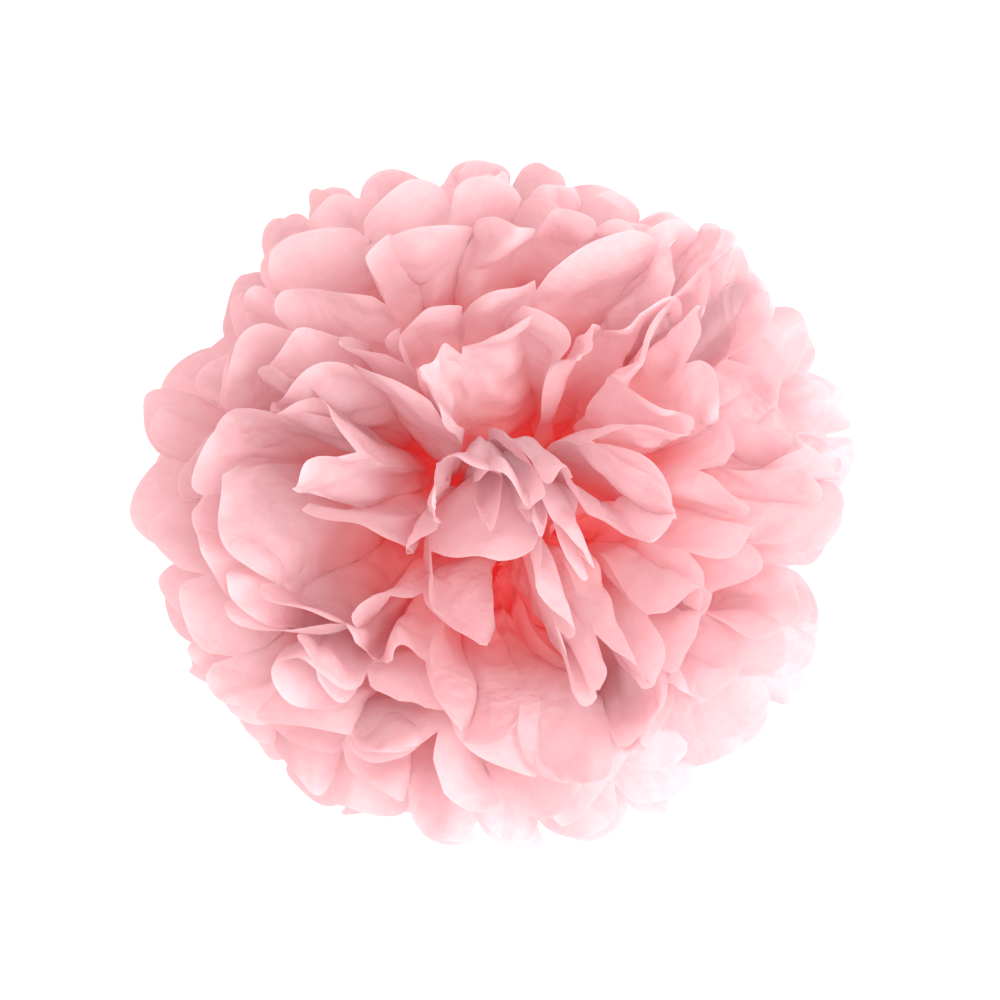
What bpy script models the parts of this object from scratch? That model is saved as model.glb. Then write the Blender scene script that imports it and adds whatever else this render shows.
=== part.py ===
"""Tissue paper pom pom: sheets pleated together, tied at the waist and fanned out into a ball.

Every sheet is one fluted, scallop-edged solid that runs through the tie at the middle. Its two halves
open into half-circle fans on either side of the XZ plane, and each layer is pulled up or down to its own
elevation. The ball's pole is +Z, the folded stick lay along Y, and the lowest petals rest flat on z = 0.
"""

import math

import bmesh
import bpy

SHEETS = 14
PANELS = 14  # pleats across a sheet
PLEAT_WIDTH = 0.029
STICK_LENGTH = 0.244  # one cut side of a sheet; the other is PANELS pleats long
TISSUE_THICKNESS = 0.0004  # a few crumpled thicknesses of tissue, so that it holds as a solid
PETAL_ROUNDING = 0.013  # how far a petal's round end reaches past its creases
TOP_ELEVATION = math.radians(80)  # the innermost sheet; the lowest sheet is its mirror image
WAIST_HEIGHT = 0.101  # the tie's middle above the surface that the ball rests on

NECK_HALF_WIDTH = 0.0036  # a gathered sheet inside the tie
NECK_HALF_LENGTH = 0.0022  # from the tie's plane to where the fans start
LAYER_PITCH = 0.00075  # from one gathered sheet to the next inside the tie
TIE_BEND = 0.007  # length in which a sheet turns from the tie to its own elevation
MARCH_STEP = 0.0001

CREASE_STATIONS = (0.0035, TIE_BEND, 0.024, 0.062)  # distances from the tie where a crease has a vertex
VALLEY = STICK_LENGTH / 2 - PETAL_ROUNDING  # where two petals' round ends meet, on the crease
PETAL_ARC = (1 / 6, 1 / 2, 5 / 6)  # places across a pleat where its round end has a vertex

WIRE_RADIUS = 0.0006
WIRE_GAP = 0.0004
LOOP_BEND = 0.0022  # radius of the wire loop's corners
BEND_STEPS = 4  # straight lengths in one corner
LOOP_LEADS = ((0.0009, 0.00125), (0.0003, 0.0019))  # past the loop and above its middle, from tail to loop
TAIL_START = 0.0018  # past the loop, where the two ends start to twist
TWIST_PITCH = 0.006
TWIST_TURNS = 3
TWIST_STEPS = 10  # points along one turn of the twisted tail

TISSUE_PINK = (0.86, 0.50, 0.55)
WIRE_GREY = (0.60, 0.60, 0.60)


def clear_scene():
    for thing in list(bpy.data.objects):
        bpy.data.objects.remove(thing)


def make_material(name, colour, roughness, metallic):
    material = bpy.data.materials.new(name)
    material.use_nodes = True
    shader = material.node_tree.nodes["Principled BSDF"]
    shader.inputs["Base Color"].default_value = (*colour, 1.0)
    shader.inputs["Roughness"].default_value = roughness
    shader.inputs["Metallic"].default_value = metallic
    return material


def add_object(name, data, material):
    data.materials.append(material)
    thing = bpy.data.objects.new(name, data)
    bpy.context.scene.collection.objects.link(thing)
    return thing


def smoothstep(x):
    x = min(max(x, 0.0), 1.0)
    return x * x * (3 - 2 * x)


def sheet_elevation(index):
    """The mean elevation of a sheet's pleats, from the innermost upper sheet down."""
    return TOP_ELEVATION * (1 - 2 * index / (SHEETS - 1))


def pleat_tilt(elevation):
    """Half the angle between neighbouring creases, so that a pleat keeps its width at the rim."""
    rim = STICK_LENGTH / 2
    spacing = rim * math.cos(elevation) * math.pi / PANELS
    return math.asin(math.sqrt(PLEAT_WIDTH**2 - spacing**2) / 2 / rim)


def crease_path(elevation, start_height):
    """(distance out, height) along one crease from the neck, marched in small steps.

    The crease turns from level to its elevation within TIE_BEND, and lies flat where it meets z = 0.
    """
    out, height = NECK_HALF_WIDTH, start_height
    path = [(out, height)]
    for step in range(round(STICK_LENGTH / 2 / MARCH_STEP)):
        angle = elevation * smoothstep((step + 0.5) * MARCH_STEP / TIE_BEND)
        fall = height + MARCH_STEP * math.sin(angle)
        if fall > 0:
            out += MARCH_STEP * math.cos(angle)
            height = fall
        else:
            out += MARCH_STEP
            height = 0.0
        path.append((out, height))
    return path


def fan_lines(index, side):
    """The crease lines of one half fan: a function of distance for each, in order round the pole."""
    elevation = sheet_elevation(index)
    tilt = pleat_tilt(elevation)
    start_height = WAIST_HEIGHT + ((SHEETS - 1) / 2 - index) * LAYER_PITCH
    paths = [crease_path(elevation + sign * tilt, start_height) for sign in (1, -1)]

    def line(number):
        turn = math.pi * number / PANELS
        path = paths[number % 2]

        def point(distance):
            out, height = path[round(distance / MARCH_STEP)]
            return (out * math.cos(turn), side * (NECK_HALF_LENGTH + out * math.sin(turn)), height)

        return point

    return [line(number) for number in range(PANELS + 1)]


def between(a, b, share):
    return tuple(p + (q - p) * share for p, q in zip(a, b))


def add_half_fan(bm, index, side):
    """One half of a sheet's surface, from the neck to the scallops. Returns the three vertices at the neck."""
    lines = fan_lines(index, side)
    stations = (0.0, *CREASE_STATIONS, VALLEY)
    rows = [[bm.verts.new(line(distance)) for line in lines] for distance in stations]
    for near, far in zip(rows, rows[1:]):
        for k in range(PANELS):
            bm.faces.new((near[k], near[k + 1], far[k + 1], far[k]))
    middle = bm.verts.new((0.0, side * NECK_HALF_LENGTH, rows[0][0].co.z))
    for k in range(PANELS):
        bm.faces.new((middle, rows[0][k + 1], rows[0][k]))
    for k in range(PANELS):
        arc = []
        for share in PETAL_ARC:
            reach = VALLEY + PETAL_ROUNDING * math.sqrt(1 - (2 * share - 1) ** 2)
            arc.append(bm.verts.new(between(lines[k](reach), lines[k + 1](reach), share)))
        bm.faces.new((rows[-1][k], rows[-1][k + 1], *reversed(arc)))
    return rows[0][0], middle, rows[0][-1]


def make_sheet(index):
    bm = bmesh.new()
    near_side = add_half_fan(bm, index, 1)
    far_side = add_half_fan(bm, index, -1)
    for k in range(2):
        bm.faces.new((near_side[k], near_side[k + 1], far_side[k + 1], far_side[k]))
    bmesh.ops.recalc_face_normals(bm, faces=bm.faces[:])
    bmesh.ops.triangulate(bm, faces=bm.faces[:], quad_method="SHORT_EDGE")
    if near_side[1].link_faces[0].normal.z > 0:
        bmesh.ops.reverse_faces(bm, faces=bm.faces[:])
    bmesh.ops.solidify(bm, geom=bm.faces[:], thickness=TISSUE_THICKNESS)
    bmesh.ops.recalc_face_normals(bm, faces=bm.faces[:])
    name = f"tissue_sheet_{index + 1:02d}"
    mesh = bpy.data.meshes.new(name)
    bm.to_mesh(mesh)
    bm.free()
    add_object(name, mesh, make_material(f"tissue_{index + 1:02d}", TISSUE_PINK, 0.75, 0.0))


def twisted_tail(start_out):
    """Points of one of the tail's two wires, from the loop outwards; the other is its mirror image."""
    radius = WIRE_RADIUS + WIRE_GAP / 2
    points = []
    for step in range(TWIST_TURNS * TWIST_STEPS + 1):
        turn = 2 * math.pi * step / TWIST_STEPS
        out = start_out + TWIST_PITCH * step / TWIST_STEPS
        points.append((out, radius * math.sin(turn), radius * math.cos(turn)))
    return points


def make_tie():
    """A loop of wire round all the necks, its two ends twisted together along the slit between the fans."""
    clearance = WIRE_GAP + WIRE_RADIUS
    half_width = NECK_HALF_WIDTH + clearance
    half_height = SHEETS / 2 * LAYER_PITCH + clearance
    upper = twisted_tail(half_width + TAIL_START)
    lower = [(x, -y, -z) for x, y, z in upper]
    loop = []
    for quarter, (side_x, side_z) in enumerate(((1, 1), (-1, 1), (-1, -1), (1, -1))):
        centre_x = side_x * (half_width - LOOP_BEND)
        centre_z = side_z * (half_height - LOOP_BEND)
        for step in range(BEND_STEPS + 1):
            turn = math.pi / 2 * (quarter + step / BEND_STEPS)
            loop.append((centre_x + LOOP_BEND * math.cos(turn), 0.0, centre_z + LOOP_BEND * math.sin(turn)))
    lead = [(half_width + past, 0.0, above) for past, above in LOOP_LEADS]
    back = [(x, y, -z) for x, y, z in reversed(lead)]
    points = [*reversed(upper), *lead, *loop, *back, *lower]

    curve = bpy.data.curves.new("tie_wire", "CURVE")
    curve.dimensions = "3D"
    spline = curve.splines.new("POLY")
    spline.points.add(len(points) - 1)
    for spot, (x, y, z) in zip(spline.points, points):
        spot.co = (x, y, z + WAIST_HEIGHT, 1.0)
    curve.bevel_depth = WIRE_RADIUS
    curve.bevel_resolution = 1
    curve.use_fill_caps = True
    add_object("tie_wire", curve, make_material("wire", WIRE_GREY, 0.35, 1.0))


clear_scene()
for number in range(SHEETS):
    make_sheet(number)
make_tie()
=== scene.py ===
import math

import bmesh
import bpy
import numpy as np
from mathutils import Matrix, Vector


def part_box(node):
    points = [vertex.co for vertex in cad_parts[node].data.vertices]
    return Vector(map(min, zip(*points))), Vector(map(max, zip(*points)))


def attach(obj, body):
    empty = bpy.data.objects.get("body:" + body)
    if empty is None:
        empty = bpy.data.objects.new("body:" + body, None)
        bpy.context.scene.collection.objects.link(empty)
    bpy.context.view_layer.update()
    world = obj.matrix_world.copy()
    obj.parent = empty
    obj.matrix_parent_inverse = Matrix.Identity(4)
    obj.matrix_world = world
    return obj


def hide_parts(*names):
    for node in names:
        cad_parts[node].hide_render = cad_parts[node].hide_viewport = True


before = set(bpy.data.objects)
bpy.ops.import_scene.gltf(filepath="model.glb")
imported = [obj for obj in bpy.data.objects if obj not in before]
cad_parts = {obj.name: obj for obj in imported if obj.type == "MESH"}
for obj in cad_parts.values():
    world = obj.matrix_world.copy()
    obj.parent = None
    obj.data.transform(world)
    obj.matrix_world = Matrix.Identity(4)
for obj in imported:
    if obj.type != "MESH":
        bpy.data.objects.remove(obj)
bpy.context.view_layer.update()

scene = bpy.context.scene

# ---- The folded stack ------------------------------------------------------------------------------------
# Fourteen sheets of tissue are laid on each other, pleated together into a flat stick, cut round at both ends
# and tied at the middle, so every sheet has the same creases and the same round ended petals.
PLEATS = 14
PLEAT_WIDTH = 0.029
STICK_LENGTH = 0.244
ROUND_END = 0.013  # how far a petal's round end reaches past its creases
VALLEY = STICK_LENGTH / 2 - ROUND_END  # from the tie to where two round ends meet on a crease
SHEETS = sorted(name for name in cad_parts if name.startswith("tissue_sheet"))
ACROSS = 16  # cells over one pleat
ALONG = 64  # cells from the tie to a petal's end

low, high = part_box("tie_wire")
WAIST = (low[2] + high[2]) / 2
GATHER = 0.0066  # width of the sheets inside the tie
NECK = 0.0022  # from the tie's plane to where the fans start
SHEET_PITCH = 0.00075  # from one gathered sheet to the next inside the tie


def smooth(x):
    x = np.clip(x, 0.0, 1.0)
    return x * x * (3 - 2 * x)


def ripple(points, wavelength, seed, waves=10):
    """Smooth noise in space, one value from -1 to 1 for each point, made of waves in random directions."""
    rng = np.random.default_rng(seed)
    total = np.zeros(points.shape[:-1])
    for _ in range(waves):
        way = rng.normal(size=3)
        way *= 2 * math.pi / (wavelength * rng.uniform(0.75, 1.4)) / np.linalg.norm(way)
        total += np.sin(points @ way + rng.uniform(0, 2 * math.pi))
    return total / math.sqrt(waves / 2) / 1.6


# ---- The sheets, opened out ------------------------------------------------------------------------------
# Each half of a sheet opens into a half circle fan, and the layers are pulled apart one by one, the upper
# ones towards the top and the rest down. Nothing is glued: the pleats stay where the fingers left them.
HALF = len(SHEETS) // 2
FAR_RISE = (68, 54, 42, 31, 21, 12, 4)  # degrees above the equator on the far side of the slit
NEAR_RISE = (80, 67, 54, 42, 30, 18, 7)  # and on the near side
SLIT_REACH = 0.30  # how far the innermost fans stay stretched along the slit, as a share of the ball
# The three innermost fans on each side of the slit are given one by one, in steps of five degrees: how far
# round and how high each crease ends, from the right end of the slit to the left. A key is the layer and the
# side.
ARRANGED = {
    # a fluted run, the heart petal over the slit, a deep fold and a small cup
    (0, 0): ((0, 60), (20, 75), (30, 55), (50, 65), (60, 50), (70, 60), (70, 70), (85, 60),
             (130, 75), (170, 70), (185, 75), (165, 60), (180, 45), (190, 60), (200, 55)),
    # shallow flutes, the wide cup behind the heart petal and a lobe beside it
    (1, 0): ((5, 45), (20, 50), (30, 45), (45, 50), (55, 45), (65, 50), (75, 45), (90, 55),
             (110, 60), (150, 60), (155, 65), (150, 55), (175, 40), (180, 55), (190, 35)),
    # a shallow run, and the broad back petal
    (2, 0): ((10, 30), (20, 35), (30, 30), (40, 35), (55, 30), (65, 35), (70, 30), (80, 35),
             (90, 35), (100, 40), (115, 40), (135, 40), (135, 50), (160, 40), (180, 30)),
    # the small ruffles over the tie, and a rounded petal at the left
    (0, 1): ((-30, 75), (-5, 60), (15, 70), (0, 80), (130, 90), (80, 85), (25, 85), (35, 70),
             (45, 85), (140, 80), (135, 85), (160, 75), (130, 75), (120, 65), (160, 55)),
    # larger ruffles under them
    (1, 1): ((0, 40), (10, 50), (20, 40), (30, 55), (40, 50), (45, 60), (55, 55), (60, 65),
             (50, 80), (115, 70), (75, 65), (105, 60), (115, 50), (140, 45), (170, 40)),
    # a shallow run
    (2, 1): ((0, 30), (15, 25), (20, 35), (35, 25), (40, 40), (50, 30), (60, 40), (65, 35),
             (75, 45), (85, 40), (95, 50), (105, 45), (120, 50), (140, 35), (165, 35)),
}


def rise_of(layer, side):
    table = NEAR_RISE if side or layer >= HALF else FAR_RISE
    degrees = np.interp(min(layer, len(SHEETS) - 1 - layer), np.linspace(0, HALF - 1, len(table)), table)
    return math.radians(degrees if layer < HALF else -degrees)


def towards(turn, rise):
    """Unit vectors of a fan's direction: turn from 0 to pi round the half circle, rise from the equator."""
    wide = np.sqrt(np.cos(rise) ** 2 + (SLIT_REACH * np.sin(rise)) ** 2)
    way = np.stack([wide * np.cos(turn), np.cos(rise) * np.sin(turn), np.sin(rise)], axis=-1)
    return way / np.linalg.norm(way, axis=-1, keepdims=True)


def spread(rng, room):
    """How far round the rim each pleat goes: most lie open, and a few are folded back behind the others."""
    open_width, back = 0.97 * PLEAT_WIDTH, 0.80 * PLEAT_WIDTH
    folded = int(max(0, (PLEATS * open_width - room) // (open_width + back)))
    width = rng.uniform(0.86, 1.0, PLEATS)
    spots = (np.arange(folded) + rng.uniform(0.3, 0.8, folded)) * PLEATS / max(folded, 1)
    behind = np.zeros(PLEATS, bool)
    behind[np.clip(spots.astype(int), 1, PLEATS - 2)] = True
    width[behind] = -rng.uniform(0.6, 0.95, behind.sum()) * PLEAT_WIDTH
    for _ in range(20):
        width[~behind] *= (room - width[behind].sum()) / width[~behind].sum()
        width[~behind] = np.minimum(width[~behind], open_width)
    return width


def lone_creases(rng, rise, s, crease):
    """Directions of the creases of a fan that nobody arranged: [row, column] where the column's crease is."""
    rim = towards(np.linspace(0, math.pi, 200), np.full(200, rise)) * STICK_LENGTH / 2
    room = min(np.linalg.norm(np.diff(rim, axis=0), axis=1).sum(), 0.93 * PLEATS * PLEAT_WIDTH)
    width = spread(rng, room)
    loose = np.radians(rng.normal(0, 2.2, PLEATS + 1))
    curl = np.radians(rng.normal(2.0, 3.0, PLEATS + 1))
    place_rim = np.concatenate([[0], np.cumsum(width)]) / width.sum()
    place_tie = np.linspace(0, 1, PLEATS + 1)
    opening = smooth((s - 0.02) / 0.075)
    inside = 1 - smooth((s - 0.045) / 0.06)

    def depth(pleat):
        wide = np.diff(place_tie)[pleat] * (1 - opening) + np.diff(place_rim)[pleat] * opening
        arc = np.abs(wide) * room * s / (STICK_LENGTH / 2)
        full = np.sqrt(np.maximum(PLEAT_WIDTH**2 - arc**2, 0.0))
        return full * (1 - 0.6 * (arc / PLEAT_WIDTH).clip(0, 1) ** 2)

    edge = (depth(np.maximum(crease - 1, 0)) + depth(np.minimum(crease, PLEATS - 1))) / 2
    cap = np.radians(8.5 + 16 * math.cos(rise) ** 2 + (22 - 4 * math.cos(rise) ** 2) * inside)
    swing = cap * np.tanh(edge / 2 / np.maximum(s, 1e-4) / cap) * (-1.0) ** crease
    swing = swing + loose[crease] * smooth((s - 0.04) / 0.07)
    swing = swing - math.copysign(1, rise) * curl[crease] * smooth((s - 0.075) / 0.05) ** 2
    swing = swing * np.where((crease == 0) | (crease == PLEATS), 0.35, 1.0)
    r = rise * (1 - 0.2 * inside) + swing * smooth(s / 0.008)
    limit = math.radians(84)
    over = np.maximum(np.abs(r) - limit, 0)
    r = np.sign(r) * (np.minimum(np.abs(r), limit) + math.radians(5) * (1 - np.exp(-over / math.radians(5))))
    return towards(math.pi * (place_tie[crease] * (1 - opening) + place_rim[crease] * opening), r)


def arranged_creases(ends, rise, s, crease):
    """The same for a fan whose crease ends are listed: towards the tie its creases close up into a folded
    bundle.
    """
    turn, up = np.radians(np.array(ends, float)).T
    rim = np.stack([np.cos(up) * np.cos(turn), np.cos(up) * np.sin(turn), np.sin(up)], axis=-1)
    padded = np.concatenate([rim[:1], rim[:1], rim, rim[-1:], rim[-1:]])
    middle = sum(padded[i:i + PLEATS + 1] * w for i, w in enumerate((0.12, 0.24, 0.28, 0.24, 0.12)))
    fold = rim - middle
    stretch = np.minimum((0.108 / np.maximum(s, 1e-4)) ** 0.9, 3.0)[..., None]
    bundle = towards(math.pi * crease / PLEATS, rise * np.ones(len(crease)))
    opening = smooth((s - 0.012) / 0.07)[..., None]
    way = bundle * (1 - opening) + (middle[crease] + fold[crease] * stretch) * opening
    way = way + (-1.0) ** crease[:, None] * (0.5 * (1 - opening) * smooth(s / 0.01)[..., None]) * (0, 0, 1)
    return way / np.linalg.norm(way, axis=-1, keepdims=True)


CHORD_EASE = 0.7  # 1 would bend a pleat round the ball between its creases, and 0 leave it flat


def opened_fan(layer, side):
    """Places of one half of a sheet, [row from the tie, column across the sheet], in metres."""
    rng = np.random.default_rng(100 * layer + side + 7)
    rise = rise_of(layer, side)
    column = np.arange(PLEATS * ACROSS + 1)
    pleat = np.minimum(column // ACROSS, PLEATS - 1)
    share = column / ACROSS - pleat
    reach = VALLEY + ROUND_END * np.sqrt(np.maximum(0, 1 - (2 * share - 1) ** 2))
    s = (np.linspace(0, 1, ALONG + 1) ** 0.9)[:, None] * reach[None, :]
    if (layer, side) in ARRANGED:
        ends = ARRANGED[layer, side]
        start, stop = (arranged_creases(ends, rise, s, pleat + i) for i in (0, 1))
    else:
        seed = rng.integers(1 << 30)
        start, stop = (lone_creases(np.random.default_rng(seed), rise, s, pleat + i) for i in (0, 1))
    way = start + (stop - start) * share[:, None]
    way = way / np.linalg.norm(way, axis=-1, keepdims=True) ** CHORD_EASE

    gather = np.zeros_like(way)
    gather[..., 0] = GATHER * (0.5 - column / ACROSS / PLEATS) * (1 - smooth(s / 0.01))
    gather[..., 1] = NECK * smooth(s / 0.004)
    gather[..., 2] = (len(SHEETS) / 2 - 0.5 - layer) * SHEET_PITCH
    points = gather + way * s[..., None]

    across = np.broadcast_to(column / ACROSS * PLEAT_WIDTH, s.shape)
    sheet_place = np.stack([across, s, np.full_like(s, 0.3 * layer + side)], axis=-1)
    normal = np.cross(np.gradient(points, axis=0), np.gradient(points, axis=1))
    normal /= np.maximum(np.linalg.norm(normal, axis=-1, keepdims=True), 1e-12)
    bow = (rng.normal(0.0015, 0.0030, PLEATS)[pleat] * 4 * share * (1 - share)
           + rng.normal(0, 0.0018, PLEATS)[pleat] * np.sin(2 * math.pi * share))
    crumple = 0.004 * (2 * np.abs((s / 0.014 + 6 * column / ACROSS / PLEATS) % 1.0 * 2 - 1) - 1)
    folds = 0.0022 * np.abs(ripple(sheet_place, 0.055, 31)) + 0.0011 * np.abs(ripple(sheet_place, 0.018, 32))
    outer = smooth((s - 0.03) / 0.05)
    push = (bow + folds) * outer + crumple * smooth(s / 0.012) * (1 - outer)
    points = points + normal * push[..., None]
    points[..., 1] *= 1 if side == 0 else -1
    return points


SWAY, DENT = 0.0070, 0.0022  # how far handling moves the petals, in waves 85 mm and 34 mm long
LIFT = 0.0006  # the lowest petals' height over the surface
PRESSED = 0.02  # depth over which the petals below it are pressed flat


def settle(points):
    """What handling does to the whole ball: it sways, leans and dents, with every sheet moving together."""
    out = np.linalg.norm(points, axis=-1, keepdims=True)
    grip = smooth(out / 0.11)
    bend = np.stack([ripple(points, 0.085, seed) for seed in (1, 2, 3)], axis=-1)
    fine = np.stack([ripple(points, 0.034, seed) for seed in (4, 5, 6)], axis=-1)
    points = points + grip * (SWAY * bend + DENT * fine)
    points = points * (1.035, 0.995, 1.0) + (0, 0, WAIST)
    height = points[..., 2]
    pressed = LIFT * np.exp(np.minimum(height - LIFT, 0) / PRESSED)
    points[..., 2] = np.where(height < LIFT, pressed, height)
    return points


def make_sheet(layer, name):
    columns = PLEATS * ACROSS
    bm = bmesh.new()
    bm.loops.layers.uv.new("UVMap")
    bmesh.ops.create_grid(bm, x_segments=columns, y_segments=2 * ALONG, size=0.5, calc_uvs=True)
    mesh = bpy.data.meshes.new(name + "_paper")
    bm.to_mesh(mesh)
    bm.free()
    flat = np.empty(len(mesh.vertices) * 3)
    mesh.vertices.foreach_get("co", flat)
    flat = flat.reshape(-1, 3)
    column = np.rint((flat[:, 0] + 0.5) * columns).astype(int)
    row = np.rint((flat[:, 1] + 0.5) * 2 * ALONG).astype(int) - ALONG
    halves = np.stack([settle(opened_fan(layer, side)) for side in (0, 1)])
    places = halves[np.where(row >= 0, 0, 1), np.abs(row), column]
    mesh.vertices.foreach_set("co", places.astype(np.float32).ravel())
    mesh.update()
    mesh.shade_smooth()
    mesh.set_sharp_from_angle(angle=math.radians(35))
    piece = bpy.data.objects.new(name + "_paper", mesh)
    scene.collection.objects.link(piece)
    mesh.materials.append(tissue)
    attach(piece, "root")
    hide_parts(name)
    return piece


def tissue_paper():
    """Pale pink tissue: it glows with the light behind it, and its fibres cloud it a little. Near the tie it
    is painted saturated coral with a weak painted glow, standing in for light passed through many layers, and
    each petal's cut end is painted paler as a painted edge highlight.
    """
    material = bpy.data.materials.new("tissue_paper")
    material.use_nodes = True
    tree = material.node_tree
    nodes, links = tree.nodes, tree.links
    nodes.clear()
    output = nodes.new("ShaderNodeOutputMaterial")
    paper = nodes.new("ShaderNodeBsdfPrincipled")
    paper.inputs["Roughness"].default_value = 0.55
    paper.inputs["Specular IOR Level"].default_value = 0.4
    glow = nodes.new("ShaderNodeBsdfTranslucent")
    mix = nodes.new("ShaderNodeMixShader")
    mix.inputs["Fac"].default_value = 0.42
    places = nodes.new("ShaderNodeTexCoord")
    fibres = nodes.new("ShaderNodeTexNoise")
    fibres.inputs["Scale"].default_value = 260.0
    fibres.inputs["Detail"].default_value = 3.0
    fibres.inputs["Roughness"].default_value = 0.65
    links.new(places.outputs["Object"], fibres.inputs["Vector"])
    tint = nodes.new("ShaderNodeMix")
    tint.data_type = "RGBA"
    tint.inputs["A"].default_value = (0.965, 0.77, 0.81, 1)
    tint.inputs["B"].default_value = (0.985, 0.88, 0.90, 1)
    clouds = nodes.new("ShaderNodeMapRange")
    clouds.inputs["From Min"].default_value = 0.32
    clouds.inputs["From Max"].default_value = 0.68
    links.new(fibres.outputs["Fac"], clouds.inputs["Value"])
    links.new(clouds.outputs["Result"], tint.inputs["Factor"])
    # Painted highlight: a thin band along each petal's cut end, about the last row of cells, is painted
    # paler, the bright thin edge that light makes, not a colour of the paper.
    edge = nodes.new("ShaderNodeUVMap")
    edge.uv_map = "UVMap"
    split = nodes.new("ShaderNodeSeparateXYZ")
    links.new(edge.outputs["UV"], split.inputs["Vector"])
    from_middle = nodes.new("ShaderNodeMath")
    from_middle.operation = "SUBTRACT"
    from_middle.inputs[1].default_value = 0.5
    links.new(split.outputs["Y"], from_middle.inputs[0])
    size = nodes.new("ShaderNodeMath")
    size.operation = "ABSOLUTE"
    links.new(from_middle.outputs["Value"], size.inputs[0])
    rim = nodes.new("ShaderNodeMapRange")
    rim.inputs["From Min"].default_value = 0.4940
    rim.inputs["From Max"].default_value = 0.4995
    links.new(size.outputs["Value"], rim.inputs["Value"])
    # The painted edge highlight colour.
    pale = nodes.new("ShaderNodeMix")
    pale.data_type = "RGBA"
    pale.inputs["B"].default_value = (1.0, 0.91, 0.93, 1)
    links.new(tint.outputs["Result"], pale.inputs["A"])
    links.new(rim.outputs["Result"], pale.inputs["Factor"])
    # Painted light: towards the tie, where the recesses are, the base colour, the colour seen through the
    # paper and a weak coral emission all turn saturated coral. This stands in for light passed through many
    # layers; the paper has no such colour of its own.
    heart = nodes.new("ShaderNodeVectorMath")
    heart.operation = "DISTANCE"
    heart.inputs[1].default_value = (0, 0, WAIST)
    links.new(places.outputs["Object"], heart.inputs[0])
    deep = nodes.new("ShaderNodeMapRange")
    deep.interpolation_type = "SMOOTHSTEP"
    deep.inputs["From Min"].default_value = 0.110
    deep.inputs["From Max"].default_value = 0.045
    links.new(heart.outputs["Value"], deep.inputs["Value"])
    # Painted recess colour: the base colour goes coral near the tie.
    painted_recess_coral = nodes.new("ShaderNodeMix")
    painted_recess_coral.data_type = "RGBA"
    painted_recess_coral.inputs["B"].default_value = (1.0, 0.42, 0.42, 1)
    links.new(pale.outputs["Result"], painted_recess_coral.inputs["A"])
    links.new(deep.outputs["Result"], painted_recess_coral.inputs["Factor"])
    links.new(painted_recess_coral.outputs["Result"], paper.inputs["Base Color"])
    # Painted recess colour in the light seen through the paper as well.
    through = nodes.new("ShaderNodeMix")
    through.data_type = "RGBA"
    through.inputs["A"].default_value = (1.0, 0.66, 0.69, 1)
    through.inputs["B"].default_value = (1.0, 0.22, 0.20, 1)
    links.new(deep.outputs["Result"], through.inputs["Factor"])
    links.new(through.outputs["Result"], glow.inputs["Color"])
    # Painted glow: coral emission near the tie, light that the paper does not give off.
    paper.inputs["Emission Color"].default_value = (1.0, 0.10, 0.09, 1)
    painted_glow_strength = nodes.new("ShaderNodeMath")
    painted_glow_strength.operation = "MULTIPLY"
    painted_glow_strength.inputs[1].default_value = 0.20
    links.new(deep.outputs["Result"], painted_glow_strength.inputs[0])
    links.new(painted_glow_strength.outputs["Value"], paper.inputs["Emission Strength"])
    bump = nodes.new("ShaderNodeBump")
    bump.inputs["Strength"].default_value = 0.9
    bump.inputs["Distance"].default_value = 0.003
    wrinkles = nodes.new("ShaderNodeTexNoise")
    wrinkles.inputs["Scale"].default_value = 38.0
    wrinkles.inputs["Detail"].default_value = 3.0
    wrinkles.inputs["Roughness"].default_value = 0.6
    wrinkles.inputs["Distortion"].default_value = 0.6
    links.new(places.outputs["Object"], wrinkles.inputs["Vector"])
    facets = nodes.new("ShaderNodeTexVoronoi")
    facets.inputs["Scale"].default_value = 62.0
    links.new(places.outputs["Object"], facets.inputs["Vector"])
    handled = nodes.new("ShaderNodeTexNoise")
    handled.inputs["Scale"].default_value = 14.0
    links.new(places.outputs["Object"], handled.inputs["Vector"])
    patches = nodes.new("ShaderNodeMapRange")
    patches.inputs["From Min"].default_value = 0.45
    patches.inputs["From Max"].default_value = 0.62
    patches.inputs["To Max"].default_value = 0.55
    links.new(handled.outputs["Fac"], patches.inputs["Value"])
    height = nodes.new("ShaderNodeMix")
    links.new(patches.outputs["Result"], height.inputs["Factor"])
    links.new(wrinkles.outputs["Fac"], height.inputs["A"])
    links.new(facets.outputs["Distance"], height.inputs["B"])
    links.new(height.outputs["Result"], bump.inputs["Height"])
    links.new(bump.outputs["Normal"], paper.inputs["Normal"])
    links.new(bump.outputs["Normal"], glow.inputs["Normal"])
    links.new(paper.outputs["BSDF"], mix.inputs[1])
    links.new(glow.outputs["BSDF"], mix.inputs[2])
    links.new(mix.outputs["Shader"], output.inputs["Surface"])
    material.cycles.emission_sampling = "NONE"
    return material


tissue = tissue_paper()
for layer, name in enumerate(SHEETS):
    make_sheet(layer, name)

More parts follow.
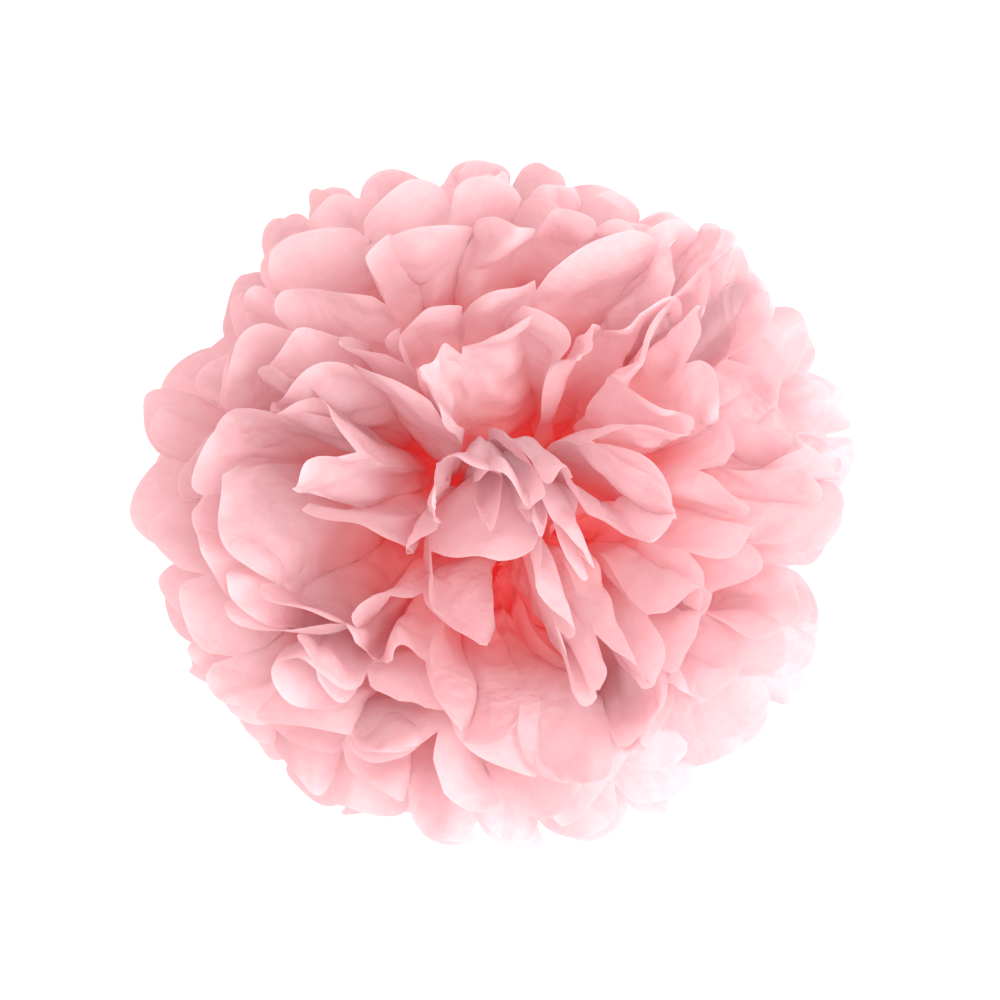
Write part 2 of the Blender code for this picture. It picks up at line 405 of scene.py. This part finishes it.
# ---- The tie ---------------------------------------------------------------------------------------------
# A bit of soft steel wire is wrapped round the folded stick's waist and its two ends are twisted together.
def drawn_wire():
    """Grey steel with the fine dull streaks that drawing and twisting leave."""
    material = bpy.data.materials.new("drawn_wire")
    material.use_nodes = True
    nodes, links = material.node_tree.nodes, material.node_tree.links
    steel = nodes["Principled BSDF"]
    steel.inputs["Base Color"].default_value = (0.56, 0.55, 0.54, 1)
    steel.inputs["Metallic"].default_value = 1.0
    places = nodes.new("ShaderNodeTexCoord")
    streaks = nodes.new("ShaderNodeTexNoise")
    streaks.inputs["Scale"].default_value = 900.0
    streaks.inputs["Detail"].default_value = 3.0
    links.new(places.outputs["Object"], streaks.inputs["Vector"])
    dulling = nodes.new("ShaderNodeMapRange")
    dulling.inputs["To Min"].default_value = 0.25
    dulling.inputs["To Max"].default_value = 0.50
    links.new(streaks.outputs["Fac"], dulling.inputs["Value"])
    links.new(dulling.outputs["Result"], steel.inputs["Roughness"])
    return material


wire = drawn_wire()
for spot in bpy.data.objects["tie_wire"].material_slots:
    spot.material = wire

# ---- The table, the lights and the camera ----------------------------------------------------------------
bm = bmesh.new()
bmesh.ops.create_grid(bm, x_segments=1, y_segments=1, size=3.0)
table = bpy.data.meshes.new("table")
bm.to_mesh(table)
bm.free()
ground = bpy.data.objects.new("table", table)
scene.collection.objects.link(ground)
pale = bpy.data.materials.new("pale_table")
pale.use_nodes = True
surface = pale.node_tree.nodes["Principled BSDF"]
surface.inputs["Base Color"].default_value = (0.5, 0.5, 0.5, 1)
surface.inputs["Roughness"].default_value = 0.9
surface.inputs["Emission Color"].default_value = (1, 1, 1, 1)
surface.inputs["Emission Strength"].default_value = 1.0
pale.cycles.emission_sampling = "NONE"
table.materials.append(pale)

world = bpy.data.worlds.new("studio")
scene.world = world
world.use_nodes = True
world.node_tree.nodes["Background"].inputs["Color"].default_value = (1.0, 0.60, 0.60, 1)
world.node_tree.nodes["Background"].inputs["Strength"].default_value = 0.62

CENTRE = Vector((0, 0, WAIST + 0.01))
ROLL = math.radians(-15)  # the slit runs down to the right in the view


def add_light(name, place, size, watts):
    data = bpy.data.lights.new(name, "AREA")
    data.size = size
    data.energy = watts
    lamp = bpy.data.objects.new(name, data)
    scene.collection.objects.link(lamp)
    lamp.location = Vector(place)
    lamp.rotation_euler = (CENTRE - lamp.location).to_track_quat("-Z", "Y").to_euler()


add_light("window", (1.2, -0.25, 1.15), 2.2, 37)
add_light("skylight", (-0.2, 0.2, 1.9), 1.5, 8)

camera_data = bpy.data.cameras.new("camera")
camera_data.lens = 85
camera_data.shift_x = 0.006
camera_data.shift_y = -0.002
camera = bpy.data.objects.new("camera", camera_data)
scene.collection.objects.link(camera)
view_from = Vector((-0.03, -0.11, 1)).normalized()
camera.location = CENTRE + view_from * 0.86
up = Vector((math.sin(ROLL), math.cos(ROLL), 0))
right = up.cross(view_from).normalized()
camera.rotation_euler = Matrix((right, view_from.cross(right), view_from)).transposed().to_euler()
scene.camera = camera
scene.view_settings.view_transform = "Standard"
scene.cycles.max_bounces = 5
scene.cycles.diffuse_bounces = 5
